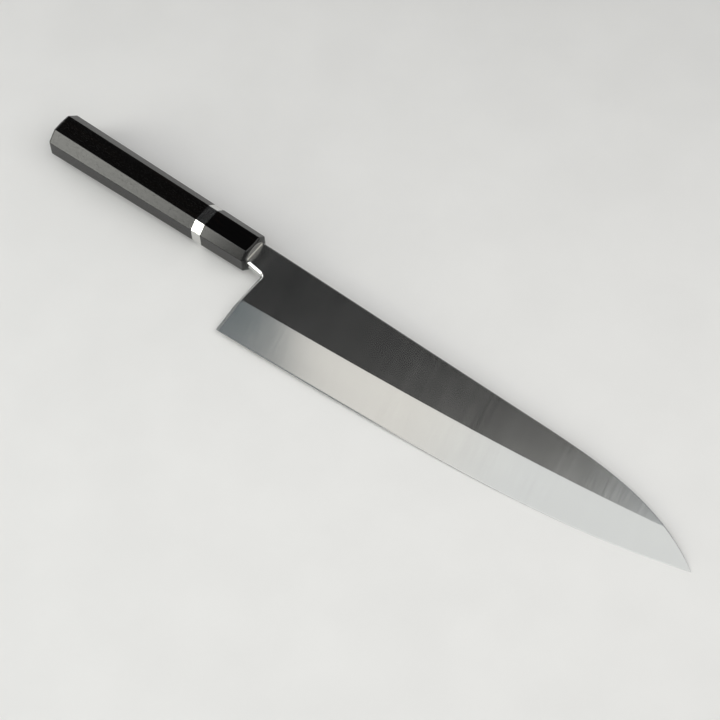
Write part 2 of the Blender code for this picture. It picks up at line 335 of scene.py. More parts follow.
def edge_line(x):
    share = not_below((x - HEEL_SETBACK) / EDGE_LENGTH, 0.0)
    belly = HEEL_DROP - TIP_DROP - EDGE_RISE
    return share * EDGE_RISE - HEEL_DROP + share**BELLY_POWER * belly


def spine_line(x):
    share = not_below((x - TIP_X + POINT_LENGTH) / POINT_LENGTH, 0.0)
    drop = SPINE_RISE - TIP_X * SPINE_FALL + TIP_DROP
    return x * -SPINE_FALL + SPINE_RISE - share**POINT_POWER * drop


def shinogi_line(x):
    share = not_below((x - HEEL_SETBACK) / EDGE_LENGTH, 0.0)
    rise = share * SHINOGI_RISE + share**SHINOGI_POWER * SHINOGI_SWEEP
    return rise + (BEVEL_WIDTH - HEEL_DROP)


middle = HEEL_SETBACK + EDGE_LENGTH / 2
print("blade height at its middle:", round(1000 * (spine_line(middle) - edge_line(middle)), 1), "mm")

# %% [markdown]
# ## The heel, the choil and the neck
#
# Behind the heel the blade is cut back to a neck, and the inner corner between them, the choil, is
# rounded and polished because the index finger lies there. The outline is two straight lines and
# an arc between them. The finish needs the distance from that outline to polish the right band, so
# the same two directions serve for both.

# %% The notch behind the heel
HEEL_LEAN = math.radians(0.6)
NECK_DROP = 0.0080
NECK_SLOPE = math.radians(8.3)
CHOIL_RADIUS = 0.0025
NOTCH_REACH = 0.030
CHOIL_STEPS = 24

heel_up = Vector((math.sin(HEEL_LEAN), math.cos(HEEL_LEAN)))
into_blade = Vector((heel_up.y, -heel_up.x))
neck_along = Vector((math.cos(NECK_SLOPE), -math.sin(NECK_SLOPE)))
into_neck = Vector((-neck_along.y, neck_along.x))
on_heel = Vector((HEEL_SETBACK, -HEEL_DROP)) - into_blade * CHOIL_RADIUS
on_neck = Vector((0.0, -NECK_DROP)) - into_neck * CHOIL_RADIUS
choil = on_heel + heel_up * ((on_neck - on_heel).dot(into_neck) / heel_up.dot(into_neck))
print("choil centre:", [round(1000 * value, 2) for value in choil], "mm")


def notch_outline(grow):
    """Heel, choil and neck underside, moved by grow into the blade."""
    first = math.atan2(into_blade.y, into_blade.x)
    turn = into_blade.angle(into_neck)
    arc = []
    for k in range(CHOIL_STEPS + 1):
        angle = first + turn * k / CHOIL_STEPS
        arc.append(choil + (CHOIL_RADIUS + grow) * Vector((math.cos(angle), math.sin(angle))))
    below = Vector((HEEL_SETBACK, -HEEL_DROP)) + into_blade * grow - heel_up * NOTCH_REACH
    behind = Vector((0.0, -NECK_DROP)) + into_neck * grow - neck_along * NOTCH_REACH
    corner = Vector((-NOTCH_REACH, -HEEL_DROP - NOTCH_REACH))
    return [below, *arc, behind, corner]


# %% [markdown]
# ## The blade's section
#
# The blade is thickest at the neck, and ahead of the choil's rounding it thins evenly towards the
# tip. Its very edge carries a micro bevel from the last sharpening. Near the tip the blade is too
# low for the full width of that bevel or of the rims on its back, so each of them also has a
# largest share of the height.

# %% Thickness and micro bevel
NECK_THICKNESS = 0.0055
POINT_THICKNESS = 0.0012
CHOIL_ROUND = 0.0019
MICRO_BEVEL_WIDTH = 0.0005
MICRO_BEVEL_SHARE = 1 / 8


def thickness(x):
    start = choil.x + CHOIL_RADIUS + CHOIL_ROUND
    share = max(0.0, (x - start) / (TIP_X - start))
    return NECK_THICKNESS + (POINT_THICKNESS - NECK_THICKNESS) * share


def micro_bevel(height):
    """Width of the micro bevel where the blade is so high."""
    return min(MICRO_BEVEL_WIDTH, height * MICRO_BEVEL_SHARE)


print("thickness at the middle:", round(1000 * thickness(middle), 2), "mm")

# %% [markdown]
# The back is ground slightly hollow, between a flat rim along the spine and one along the edge, so
# that only these two rims touch the stone when it is sharpened. Carving the hollow with a Boolean
# would need a long curved cutter. In the section it is a shallow parabola, and its depth fades out
# just before the tip.

# %% The hollow on the back
HOLLOW_DEPTH = 0.0005
EDGE_RIM = 0.0028
EDGE_RIM_SHARE = 0.2
SPINE_RIM = 0.0045
SPINE_RIM_SHARE = 0.3
HOLLOW_LEAD = 0.032
HOLLOW_RUNOUT = 0.045
HOLLOW_STOP = 0.2
BACK_Z = -NECK_THICKNESS / 2
HOLLOW_STEPS = 14


def ease(share):
    """0 to 1 with level ends."""
    share = min(1.0, max(0.0, share))
    return share * share * (3.0 - 2.0 * share)


def hollow_points(x, spine, edge):
    """The hollow between its rims. Near the choil it stays below the neck."""
    height = spine - edge
    low = edge + min(EDGE_RIM, height * EDGE_RIM_SHARE)
    high = spine - min(SPINE_RIM, height * SPINE_RIM_SHARE)
    lead = ease((x - choil.x) / HOLLOW_LEAD)
    high = min(high, high + (choil.y - CHOIL_RADIUS - high) * (1.0 - lead))
    depth = HOLLOW_DEPTH * ease((TIP_X - x) / HOLLOW_RUNOUT - HOLLOW_STOP)
    shares = [k / HOLLOW_STEPS for k in range(HOLLOW_STEPS + 1)]
    return [(high + (low - high) * s, BACK_Z + depth * 4.0 * s * (1.0 - s)) for s in shares]


deepest = max(z for y, z in hollow_points(middle, spine_line(middle), edge_line(middle)))
print("hollow at the middle:", round(1000 * (deepest - BACK_Z), 2), "mm deep")

# %% [markdown]
# From the edge, the section climbs the micro bevel and then the wide bevel to the ridge, runs level
# over the flat to the rounded spine, and comes back along the hollow. A Subdivision Surface over a
# coarse mesh would soften the ridge, so every point of the section is placed outright.

# %% One section across the blade
MICRO_BEVEL_ANGLE = math.radians(17.0)
MICRO_RISE_SHARE = 1 / 4
SPINE_ROUND = 0.0012
BACK_ROUND = 0.0006
CORNER_SHARE = 0.4
RIDGE_LEAD = 1 / 50
ROUND_STEPS = 8


def quarter_round(y, z, radius, start):
    angles = [start - math.pi / 2 * k / ROUND_STEPS for k in range(ROUND_STEPS + 1)]
    return [(y + radius * math.cos(a), z + radius * math.sin(a)) for a in angles]


def blade_section(x):
    spine, edge, ridge = spine_line(x), edge_line(x), shinogi_line(x)
    height, bevel = spine - edge, ridge - edge
    rise = thickness(x) * min(1.0, height / bevel)
    corner = min(SPINE_ROUND, rise * CORNER_SHARE)
    back_corner = min(BACK_ROUND, corner / 2)
    flat_start = min(ridge, spine - corner)
    rise = thickness(x) * (flat_start - edge) / bevel
    micro = micro_bevel(height)
    micro_rise = min(micro * math.tan(MICRO_BEVEL_ANGLE), rise * MICRO_RISE_SHARE)
    top = BACK_Z + rise
    points = [(edge, BACK_Z), (edge + micro, BACK_Z + micro_rise)]
    points += [(flat_start - corner * RIDGE_LEAD, top)]
    points += quarter_round(spine - corner, top - corner, corner, math.pi / 2)
    points += quarter_round(spine - back_corner, BACK_Z + back_corner, back_corner, 0.0)
    points += hollow_points(x, spine, edge)
    return [(x, y, z) for y, z in points]


print("points in a section:", len(blade_section(middle)))

# %% [markdown]
# ## The tang
#
# The tang runs back into the handle as a tapering bar that ends in a blunt point. The same bar,
# grown on every side, is the slot that it sits in, so one function makes both.

# %% The tang
TANG_LENGTH = 0.088
TANG_HEIGHT = 0.0104
TANG_THICKNESS = 0.0044
TANG_END_HEIGHT = 0.0066
TANG_END_THICKNESS = 0.0030
TANG_POINT = 0.005
TANG_ROOT = 0.006


def bar_section(x, height, width):
    """A rectangle across the handle, as high as the tang is along Y."""
    y, z = height / 2, width / 2
    return [(x, -y, -z), (x, y, -z), (x, y, z), (x, -y, z)]


def tang_bar(name, grow):
    """The tang, or the slot that it leaves when it is grown on every side."""
    height, width = TANG_HEIGHT + 2 * grow, TANG_THICKNESS + 2 * grow
    end_height, end_width = TANG_END_HEIGHT + 2 * grow, TANG_END_THICKNESS + 2 * grow
    return loft(name, [
        bar_section(TANG_ROOT, height, width),
        bar_section(0.0, height, width),
        bar_section(TANG_POINT - TANG_LENGTH - grow, end_height, end_width),
        bar_section(-TANG_LENGTH - grow, end_height / 2, end_width / 2),
    ])


print("tang:", round(1000 * TANG_LENGTH), "mm long,", round(1000 * TANG_HEIGHT, 1), "mm high at the neck")

# %% [markdown]
# ## Cutters for the notch and the heel
#
# The edges of the choil are rounded, and more so on the face that the finger lies against. A Bevel
# modifier could round a plain cut, but each edge of the cut would have to be picked and weighted
# for it. The cutter flares at both faces instead, and leaves the rounding as it cuts.

# %% What cuts the notch
CHOIL_DEPTH = 0.0015
CHOIL_FULLNESS = 1.3  # 1 makes a quarter ellipse, 2 a plain chamfer
CHOIL_BACK_ROUND = 0.0005
CUT_MARGIN = 0.003


def notch_cutter():
    """What cuts the notch, through levels that say how far it flares at each height."""
    levels = [(BACK_Z - CUT_MARGIN, CHOIL_BACK_ROUND)]
    for k in range(ROUND_STEPS + 1):
        angle = math.pi / 2 * k / ROUND_STEPS
        height = BACK_Z + CHOIL_BACK_ROUND * (1.0 - math.cos(angle))
        levels.append((height, CHOIL_BACK_ROUND * (1.0 - math.sin(angle))))
    for k in range(ROUND_STEPS, -1, -1):
        angle = math.pi / 2 * k / ROUND_STEPS
        height = -BACK_Z - CHOIL_DEPTH * (1.0 - math.cos(angle) ** CHOIL_FULLNESS)
        levels.append((height, CHOIL_ROUND * (1.0 - math.sin(angle) ** CHOIL_FULLNESS)))
    levels.append((CUT_MARGIN - BACK_Z, CHOIL_ROUND))
    return loft("notch", [[(p.x, p.y, z) for p in notch_outline(grow)] for z, grow in levels])


flare, back_flare = round(1000 * CHOIL_ROUND, 2), round(1000 * CHOIL_BACK_ROUND, 2)
print("the notch flares by", flare, "mm on the bevelled face and", back_flare, "mm on the back")

# %% [markdown]
# Lower down the heel the bevel has sunk below that rounding. A second cutter follows the bevel's
# slope and eases the corner there with a small radius, which fades out towards the edge, because
# the very heel of the edge stays sharp.

# %% What rounds the heel
HEEL_ROUND = 0.0003
HEEL_ROUND_START = 0.007
HEEL_ROUND_LEAST = 0.00005


def heel_cutter():
    """What rounds the corner between the heel and the bevel, along the bevel's slope."""
    up_heel = Vector((heel_up.x, heel_up.y, 0.0))
    inward = Vector((into_blade.x, into_blade.y, 0.0))
    micro_rise = MICRO_BEVEL_WIDTH * math.tan(MICRO_BEVEL_ANGLE)
    corner = Vector((HEEL_SETBACK, -HEEL_DROP, BACK_Z))
    low = corner + up_heel * MICRO_BEVEL_WIDTH + Vector((0.0, 0.0, micro_rise))
    climb = (corner + up_heel * BEVEL_WIDTH + Vector((0.0, 0.0, NECK_THICKNESS)) - low).normalized()
    outward = inward.cross(climb)
    radii = {-CUT_MARGIN: HEEL_ROUND_LEAST, HEEL_ROUND_START: HEEL_ROUND, BEVEL_WIDTH: HEEL_ROUND}
    rings = []
    for rise, radius in radii.items():
        spot = low + climb * rise
        ring = []
        for k in range(ROUND_STEPS + 1):
            angle = math.pi / 2 * k / ROUND_STEPS
            arc = inward * (1.0 - math.sin(angle)) - outward * (1.0 - math.cos(angle))
            ring.append(spot + radius * arc)
        ring.append(spot - inward * CUT_MARGIN - outward * radius)
        ring.append(spot - inward * CUT_MARGIN + outward * CUT_MARGIN)
        ring.append(spot + inward * radius + outward * CUT_MARGIN)
        rings.append(ring)
    return loft("heel_round", rings)


print("the heel's corner is rounded by", round(1000 * HEEL_ROUND, 2), "mm")

# %% [markdown]
# ## The blade
#
# A hundred and sixty sections, closer together towards the tip, make the curves of edge and spine
# smooth, and the last one closes to a single point. Blade, neck and tang are one forging, so the
# tang is joined on with a Boolean after the cuts, and the three end as one closed mesh.

# %% The blade with its neck and tang
FIT_GAP = 0.0003
BLADE_STATIONS = 160
STATION_CROWDING = 1.4

reach = TIP_X - FIT_GAP
stations = [FIT_GAP + reach * (1.0 - (1.0 - k / BLADE_STATIONS) ** STATION_CROWDING)
            for k in range(BLADE_STATIONS)]
blade = loft("knife_blade", [blade_section(x) for x in stations])
shape = bmesh.new()
shape.from_mesh(blade.data)
end = max(shape.faces, key=lambda face: face.calc_center_median().x)
point = bmesh.ops.poke(shape, faces=[end])["verts"][0]
point.co = (TIP_X, -TIP_DROP, BACK_Z)
shape.to_mesh(blade.data)
shape.free()
combine(blade, "DIFFERENCE", notch_cutter())
combine(blade, "DIFFERENCE", heel_cutter())
combine(blade, "UNION", tang_bar("tang", 0.0))
print("blade faces:", len(blade.data.polygons))

# %% [markdown]
# ## Ground steel
#
# The micro bevel and the band round the choil and along the neck are polished. The band follows
# the notch's outline at an even width, so its mask needs the distance from that outline. Ahead of
# the heel and above the neck that is the distance from a line, and round the choil from a point.
# Leaving out what lies behind either line gives all three by one formula.

# %% Distance from the notch
def notch_distance(x, y):
    """Distance of a point on the blade from the notch's outline, in metres."""
    ahead = (x - choil.x) * into_blade.x + (y - choil.y) * into_blade.y
    above = (x - choil.x) * into_neck.x + (y - choil.y) * into_neck.y
    return (ahead.most(0.0) ** 2.0 + above.most(0.0) ** 2.0) ** 0.5 - CHOIL_RADIUS


# %% [markdown]
# The flat and the bevel both carry fine hairlines that run across the blade and lean a little
# towards the handle, where the last stone or belt went over them. The bevel is a shade finer than
# the flat, and finest near the ridge and the heel. Where it is polished, the heel below the neck is
# rougher and is painted darker as painted shade. One material holds all of these zones: masks from
# the outline's formulas choose the roughness, and noise stretched along the hairlines varies colour,
# roughness and bump. Towards the tip the lines grow stronger on the flat and fade on the bevel, and
# both are painted a little cooler, the flat also lighter, as a painted reflection of the cool light
# that they mirror there.
# The flat is a touch duller beside the choil and on top of the neck. Anisotropic gloss could stand
# in for the hairlines, but lines in the bump also show close to.

# %% The blade's finish
HAIRLINE_LEAN = math.tan(math.radians(13.0))
HAIRLINE_DEPTH = 0.000012
RIDGE_BLUR = 0.00006
FLAT_ROUGHNESS = 0.235
BEVEL_ROUGHNESS = 0.173
RIDGE_ROUGHNESS = 0.148
POLISHED_ROUGHNESS = 0.12
FLAT_STEEL = (0.575, 0.575, 0.565)
# The tip colours are painted reflection: cooler, and on the flat lighter, for the cool light that the tip
# mirrors.
FLAT_TIP_STEEL_AND_SHEEN = (0.615, 0.642, 0.658)
BEVEL_STEEL = (0.590, 0.582, 0.562)
BEVEL_TIP_STEEL_AND_SHEEN = (0.560, 0.575, 0.582)
POLISHED_STEEL = (0.66, 0.66, 0.65)

# Where along the blade a change starts and where it is complete, in millimetres.
LINES_CHANGE = (180.0, 240.0)
FLAT_SHEEN_GROWS = (200.0, 300.0)
BEVEL_SHEEN_GROWS = (120.0, 215.0)
HEEL_ENDS = (14.0, 44.0)
NECK_ENDS = (9.0, 12.0)
DULL_STARTS = (6.5, 10.0)
DULL_ENDS = (10.0, 14.5)


def ground_steel():
    finish = Finish("ground_steel", Metallic=1.0)
    x, y = finish.x / PER_MM, finish.y / PER_MM
    line = finish.x + finish.y * HAIRLINE_LEAN
    hair = finish.noise((line * 2.6, finish.y * 0.07, finish.z * 0.4), detail=3.0)
    streak = finish.noise((line * 0.42, finish.y * 0.018, finish.z * 0.1), detail=3.0, seed=11.0, rough=0.6)
    cloud = finish.noise((line * 0.05, finish.y * 0.035, finish.z * 0.1), detail=2.0, seed=29.0)

    bevel = 1.0 - (y - shinogi_line(x)).eased(-RIDGE_BLUR, RIDGE_BLUR)
    micro = 1.0 - (y - edge_line(x)).eased(MICRO_BEVEL_WIDTH * 0.9, MICRO_BEVEL_WIDTH * 1.1)
    polish = 1.0 - notch_distance(x, y).eased(CHOIL_ROUND * 0.9, CHOIL_ROUND * 1.25)
    # heel is the polished band below the choil: it gets more roughness, and painted shade in its colour.
    heel = polish * (1.0 - finish.y.eased(choil.y * PER_MM - 3.0, choil.y * PER_MM))
    bright = polish.most(micro)
    towards_tip = finish.x.eased(*LINES_CHANGE)
    grain = (hair - 0.5) * 0.6 + (streak - 0.5) * 1.4 + (cloud - 0.5) * 1.0
    grain = grain * (1.0 + towards_tip * bevel.blend(1.0, -0.5))

    # Painted reflection: towards the tip the flat is painted lighter and cooler, and the bevel cooler.
    flat_steel_and_sheen = finish.x.eased(*FLAT_SHEEN_GROWS).blend(FLAT_STEEL, FLAT_TIP_STEEL_AND_SHEEN)
    bevel_steel_and_sheen = finish.x.eased(*BEVEL_SHEEN_GROWS).blend(BEVEL_STEEL, BEVEL_TIP_STEEL_AND_SHEEN)
    colour = polish.blend(bevel.blend(flat_steel_and_sheen, bevel_steel_and_sheen), POLISHED_STEEL)
    # Painted shade: the polished heel band is painted 35 percent darker.
    tone = (1.0 + grain * 0.08) * (1.0 - heel * 0.35)

    share = (y - edge_line(x)) / (shinogi_line(x) - edge_line(x))
    off_heel = finish.x.eased(*HEEL_ENDS)
    bevel_satin = share.eased(0.15, 0.75).blend(BEVEL_ROUGHNESS, RIDGE_ROUGHNESS) + off_heel * 0.015
    on_neck_top = 1.0 - finish.x.eased(*NECK_ENDS)
    by_choil = finish.x.eased(*DULL_STARTS) * (1.0 - finish.x.eased(*DULL_ENDS))
    neck = by_choil * 0.018 + on_neck_top * 0.012
    satin = bevel.blend(FLAT_ROUGHNESS, bevel_satin) + grain * 0.025 + neck
    polished = POLISHED_ROUGHNESS + heel * 0.16 + (hair - 0.5) * 0.05
    roughness = bright.blend(satin, polished)
    height = (hair * 0.25 + streak * 0.4) * (1.0 - bright * 0.9)
    return finish.paint(colour * tone.grey(), roughness, height, HAIRLINE_DEPTH)


# %% [markdown]
# The ridge between flat and bevel is crisp, yet its angle falls from 14 degrees at the heel to
# about 4 near the tip. The steps of a rounded edge, which has to look smooth, meet at 11 degrees, so
# the angle alone can't tell them apart. Vertices that lie on the ridge or at the top of the micro
# bevel are found by place instead, and the edges between them are kept sharp.

# %% The blade is laid down
CREASE = 0.00002


def on_blade_crease(point):
    """True on the ridge or at the top of the micro bevel."""
    if point.z < BACK_Z + CREASE or point.x < choil.x:
        return False
    edge, height = edge_line(point.x), spine_line(point.x) - edge_line(point.x)
    on_ridge = abs(point.y - shinogi_line(point.x)) < CREASE + SPINE_ROUND * RIDGE_LEAD
    return on_ridge or abs(point.y - edge - micro_bevel(height)) < CREASE


settle(blade, "blade", ground_steel(), on_blade_crease)

# %% [markdown]
# ## The octagonal handle
#
# Ferrule, ring and grip share one tapering octagon that is a little wider across the blade's height
# than across its thickness. On the real handle the three are glued together first and ground to the
# octagon as one, so their flats run through without a step. A cylinder with eight sides would make
# all flats equal, so the corners are worked out here from a width, a height and a chamfer. Sandpaper
# has broken them a little: the outline has a small arc at each, which catches a thin line of light.

# %% The octagon and its broken corners
FRONT_WIDTH = 0.0212
FRONT_HEIGHT = 0.0190
FRONT_CHAMFER = 0.00465
BUTT_WIDTH = 0.0248
BUTT_HEIGHT = 0.0229
BUTT_CHAMFER = 0.0062
CORNER_REACH = 0.00022
CORNER_STEPS = 4
SIDE_STEPS = 10


def octagon(x):
    """The eight corners of the handle's section at x."""
    share = -x / HANDLE_LENGTH
    y = (FRONT_WIDTH + (BUTT_WIDTH - FRONT_WIDTH) * share) / 2
    z = (FRONT_HEIGHT + (BUTT_HEIGHT - FRONT_HEIGHT) * share) / 2
    leg = FRONT_CHAMFER + (BUTT_CHAMFER - FRONT_CHAMFER) * share
    corners = [(y, leg - z), (y, z - leg), (y - leg, z), (leg - y, z)]
    corners += [(-y, z - leg), (-y, leg - z), (leg - y, -z), (y - leg, -z)]
    return [Vector((x, *corner)) for corner in corners]


def ground_outline(x):
    """The octagon with an arc at each corner and extra points along its sides."""
    corners = octagon(x)
    ring = []
    for before, corner, after in zip(corners[-1:] + corners[:-1], corners, corners[1:] + corners[:1]):
        start = corner + (before - corner).normalized() * CORNER_REACH
        stop = corner + (after - corner).normalized() * CORNER_REACH
        for k in range(CORNER_STEPS + 1):
            t = k / CORNER_STEPS
            ring.append(start * (1 - t) ** 2 + corner * 2 * t * (1 - t) + stop * t**2)
        side_end = after + (corner - after).normalized() * CORNER_REACH
        ring += [stop.lerp(side_end, k / SIDE_STEPS) for k in range(1, SIDE_STEPS)]
    return ring


print("points round the handle:", len(ground_outline(0.0)))

# %% [markdown]
# Both ends of the handle turn from the octagon to a round, flat end face. A Bevel can't do that,
# because it keeps the face's outline. Rings that shrink along a quarter circle, and change from one
# outline to the other as they do, can.

# %% Ends that turn round
def rounded_end(end, depth, radius):
    """Rings that round an end of the handle, from the octagon at depth to the round end face."""
    rings = []
    for k in range(ROUND_STEPS * 2 + 1):
        angle = math.pi / 4 * k / ROUND_STEPS
        x = end - depth * (1.0 - math.sin(angle))
        ring = []
        for spot in ground_outline(x):
            outward = Vector((0.0, spot.y, spot.z))
            inner = outward.normalized() * radius
            ring.append(Vector((x, 0.0, 0.0)) + inner.lerp(outward, math.cos(angle)))
        rings.append(ring)
    return rings


# %% [markdown]
# ## Joints
#
# Inside, a round dowel runs through ferrule and ring into the grip, and the tang is burnt and glued
# into a slot in the dowel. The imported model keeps 0.3 mm of air at each joint so that the pieces
# stay apart. On a finished knife the glue line is too thin to see, so here the visible faces are
# brought together until a hair's breadth is left.

# %% Sockets, slots and joint faces
FERRULE_LENGTH = 0.0315
RING_LENGTH = 0.0062
DOWEL_DIAMETER = 0.0130
DOWEL_SIDES = 48
GLUE_LINE = 0.00002

ring_front = -FERRULE_LENGTH - FIT_GAP / 2
ring_back = -FERRULE_LENGTH - FIT_GAP * 3 / 2 - RING_LENGTH


def socket_cutter(front, back):
    """The round hole that the dowel sits in."""
    radius = DOWEL_DIAMETER / 2 + FIT_GAP
    angles = [2 * math.pi * k / DOWEL_SIDES for k in range(DOWEL_SIDES)]
    return loft("socket", [[(x, radius * math.cos(a), radius * math.sin(a)) for a in angles]
                           for x in (front, back)])


print("ring from", round(1000 * ring_front, 2), "to", round(1000 * ring_back, 2), "mm")

# %% [markdown]
# ## The horn ferrule
#
# Water buffalo horn is cut to the octagon, drilled and polished. Its mouth is turned from the
# octagon to a round, flat front face, which the neck enters. Black horn is not evenly black: it has
# faint brown streaks along its length, and under a raking light fine sanding marks across them.
# The front face is left dull as it was sanded, and is painted grey as a painted reflection of the
# blade's flat, lightest near its rim as a painted highlight of its rounded edge. Each of these is
# one noise or one mask in the finish, so a single material covers the whole piece.

# %% The ferrule
MOUTH_ROUND = 0.0016
MOUTH_RADIUS = 0.0083
FERRULE_FRONT_WALL = 0.0055
SEAL_DEPTH = 0.0030
SEAL_WALL = 0.0010
HORN_BLACK = (0.0020, 0.0019, 0.0020)
HORN_BROWN = (0.0065, 0.0048, 0.0038)
# Painted reflection: the front face's grey stands in for the blade's flat mirrored in it.
FACE_REFLECTION_DARK = (0.115, 0.112, 0.106)
FACE_REFLECTION_LIGHT = (0.205, 0.200, 0.190)
HORN_MARKS = 0.000005
# Painted highlight of the rounded edge: the front face is lighter towards its rim over this span.
RIM_HIGHLIGHT_SPAN = (6.9, 8.1)  # from the handle's middle line, in millimetres


def seal_block(name, grow, front):
    """The resin in the ferrule's mouth, or the recess that holds it."""
    margin = 2 * (FIT_GAP + SEAL_WALL + grow)
    height, width = TANG_HEIGHT + margin, TANG_THICKNESS + margin
    return loft(name, [bar_section(x, height, width) for x in (-SEAL_DEPTH - grow, front)])


ferrule_rings = [ground_outline(ring_front + GLUE_LINE / 2)]
ferrule_rings += rounded_end(0.0, MOUTH_ROUND, MOUTH_RADIUS)
ferrule = loft("horn_ferrule", ferrule_rings)
combine(ferrule, "DIFFERENCE", socket_cutter(-FERRULE_FRONT_WALL, ring_front - CUT_MARGIN))
combine(ferrule, "DIFFERENCE", tang_bar("slot", FIT_GAP))
combine(ferrule, "DIFFERENCE", seal_block("recess", FIT_GAP, CUT_MARGIN))


def black_horn():
    finish = Finish("black_horn", Metallic=0.0, IOR=1.50)
    around = finish.noise((finish.x * 2.4, finish.y * 0.35, finish.z * 0.35), detail=3.0)
    streak = finish.noise((finish.x * 0.05, finish.y * 0.8, finish.z * 0.8), detail=3.0, seed=5.0)
    fine = finish.noise((finish.x * 1.1, finish.y * 3.2, finish.z * 3.2), detail=2.0, seed=17.0)
    brown = streak.eased(0.52, 0.80)
    radius = (finish.y**2.0 + finish.z**2.0) ** 0.5
    mouth = MOUTH_RADIUS * PER_MM
    face = finish.x.eased(-0.15, -0.05) * (1.0 - radius.eased(mouth - 0.2, mouth))
    rim_highlight = 1.0 + radius.eased(*RIM_HIGHLIGHT_SPAN) * 0.35
    # The front face is painted grey as a painted reflection, lighter near its rim as a painted highlight; it
    # is also rougher.
    face_reflection = fine.eased(0.3, 0.7).blend(FACE_REFLECTION_DARK, FACE_REFLECTION_LIGHT) * rim_highlight.grey()
    colour = face.blend(brown.blend(HORN_BLACK, HORN_BROWN), face_reflection)
    roughness = 0.125 + (around - 0.5) * 0.10 + (fine - 0.5) * 0.06 + face * 0.30
    return finish.paint(colour, roughness, around * 0.6 + fine * 0.4, HORN_MARKS)


settle(ferrule, "ferrule", black_horn())

# %% [markdown]
# ## The resin seal
#
# A little pale resin closes the slot round the tang, so that no water gets into the handle. It is
# poured, not cut: it meets the neck with a slightly raised line. Only a narrow strip of it shows,
# so a plain block with the tang's slot cut through it is enough.

# %% The seal
SEAL_RISE = 0.00005
RESIN_DARK = (0.72, 0.70, 0.64)
RESIN_LIGHT = (0.86, 0.84, 0.79)
RESIN_UNEVEN = 0.00003

seal = seal_block("resin_seal", FIT_GAP - GLUE_LINE, SEAL_RISE)
combine(seal, "DIFFERENCE", tang_bar("slot", GLUE_LINE))


def pale_resin():
    finish = Finish("pale_resin", Metallic=0.0, IOR=1.5)
    mottle = finish.noise((finish.x * 0.9, finish.y * 0.9, finish.z * 0.9), detail=3.0)
    colour = mottle.eased(0.3, 0.7).blend(RESIN_DARK, RESIN_LIGHT)
    return finish.paint(colour, 0.36 + mottle * 0.12, mottle, RESIN_UNEVEN)


settle(seal, "tang_seal", pale_resin())

# %% [markdown]
# ## The nickel silver ring
#
# A slice of nickel silver sits between horn and wood. It was ground with them, so its outline is
# their octagon, lofted over its short length, and the dowel's hole goes through it. It carries the
# belt's fine lines, which run round the handle. Metal mirrors the room far more strongly than horn
# or ebony do, so one of its flats is white and its neighbour dark.

# %% The ring
NICKEL_SILVER = (0.725, 0.723, 0.710)
BELT_MARKS = 0.000004

ring_ends = (ring_back + GLUE_LINE / 2, ring_front - GLUE_LINE / 2)
ring = loft("nickel_ring", [ground_outline(x) for x in ring_ends])
combine(ring, "DIFFERENCE", socket_cutter(ring_front + CUT_MARGIN, ring_back - CUT_MARGIN))


def nickel_silver():
    finish = Finish("nickel_silver", Metallic=1.0)
    belt = finish.noise((finish.x * 4.5, finish.y * 0.10, finish.z * 0.10), detail=3.0)
    patch = finish.noise((finish.x * 0.6, finish.y * 0.25, finish.z * 0.25), detail=2.0, seed=3.0)
    tone = 0.94 + belt * 0.10 + (patch - 0.5) * 0.06
    colour = tone.grey() * NICKEL_SILVER
    roughness = 0.205 + (belt - 0.5) * 0.14 + (patch - 0.5) * 0.06
    return finish.paint(colour, roughness, belt, BELT_MARKS)


settle(ring, "spacer_ring", nickel_silver())

# %% [markdown]
# ## The ebony grip
#
# Ebony is nearly black, dense and oiled to a satin gloss. What tells it from plastic is its grain:
# fine dark pores, short dashes that all run along the handle, and barely lighter brown bands. The
# pores are noise stretched lengthwise, kept only where it is high, and sunk a few thousandths of a
# millimetre. The butt is rounded over from the octagon to a round end, as the ferrule's mouth is.

# %% The grip
BUTT_ROUND = 0.0022
BUTT_RADIUS = 0.0090
DOWEL_END_WALL = 0.0050
EBONY_BLACK = (0.0016, 0.0014, 0.0013)
EBONY_BROWN = (0.0048, 0.0034, 0.0028)
PORE_DEPTH = 0.000008

butt = GLUE_LINE / 2 - HANDLE_LENGTH
grip_rings = [ground_outline(ring_back - GLUE_LINE / 2)]
grip_rings += rounded_end(butt, -BUTT_ROUND, BUTT_RADIUS)
grip = loft("ebony_grip", grip_rings)
socket_end = -TANG_LENGTH - DOWEL_END_WALL - FIT_GAP
combine(grip, "DIFFERENCE", socket_cutter(ring_back + CUT_MARGIN, socket_end))


def ebony():
    finish = Finish("ebony", Metallic=0.0, IOR=1.47)
    bands = finish.noise((finish.x * 0.012, finish.y * 0.42, finish.z * 0.42), detail=3.0, seed=2.0)
    fibre = finish.noise((finish.x * 0.25, finish.y * 3.4, finish.z * 3.4), detail=3.0, seed=9.0)
    pores = finish.noise((finish.x * 0.55, finish.y * 4.6, finish.z * 4.6), detail=1.0, seed=41.0)
    sanding = finish.noise((finish.x * 0.9, finish.y * 1.6, finish.z * 1.6), detail=3.0, seed=23.0, rough=0.7)
    pit = pores.eased(0.60, 0.70)
    colour = bands.eased(0.48, 0.78).blend(EBONY_BLACK, EBONY_BROWN)
    roughness = 0.215 + (fibre - 0.5) * 0.10 + (sanding - 0.5) * 0.12 + pit * 0.10
    height = fibre * 0.35 + sanding * 0.40 - pit * 0.8
    return finish.paint(colour, roughness, height, PORE_DEPTH)


settle(grip, "handle_body", ebony())

# %% [markdown]
# ## The core dowel
#
# The dowel can't be seen on a whole knife, but it shows when the handle is taken apart or cut open,
# so it has a finish too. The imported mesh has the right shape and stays. Its finish is pale wood
# with rings seen end on and fine fibres along its length.

# %% The dowel's wood
EARLY_WOOD = (0.62, 0.48, 0.30)
LATE_WOOD = (0.46, 0.33, 0.19)
FIBRE_DEPTH = 0.00002


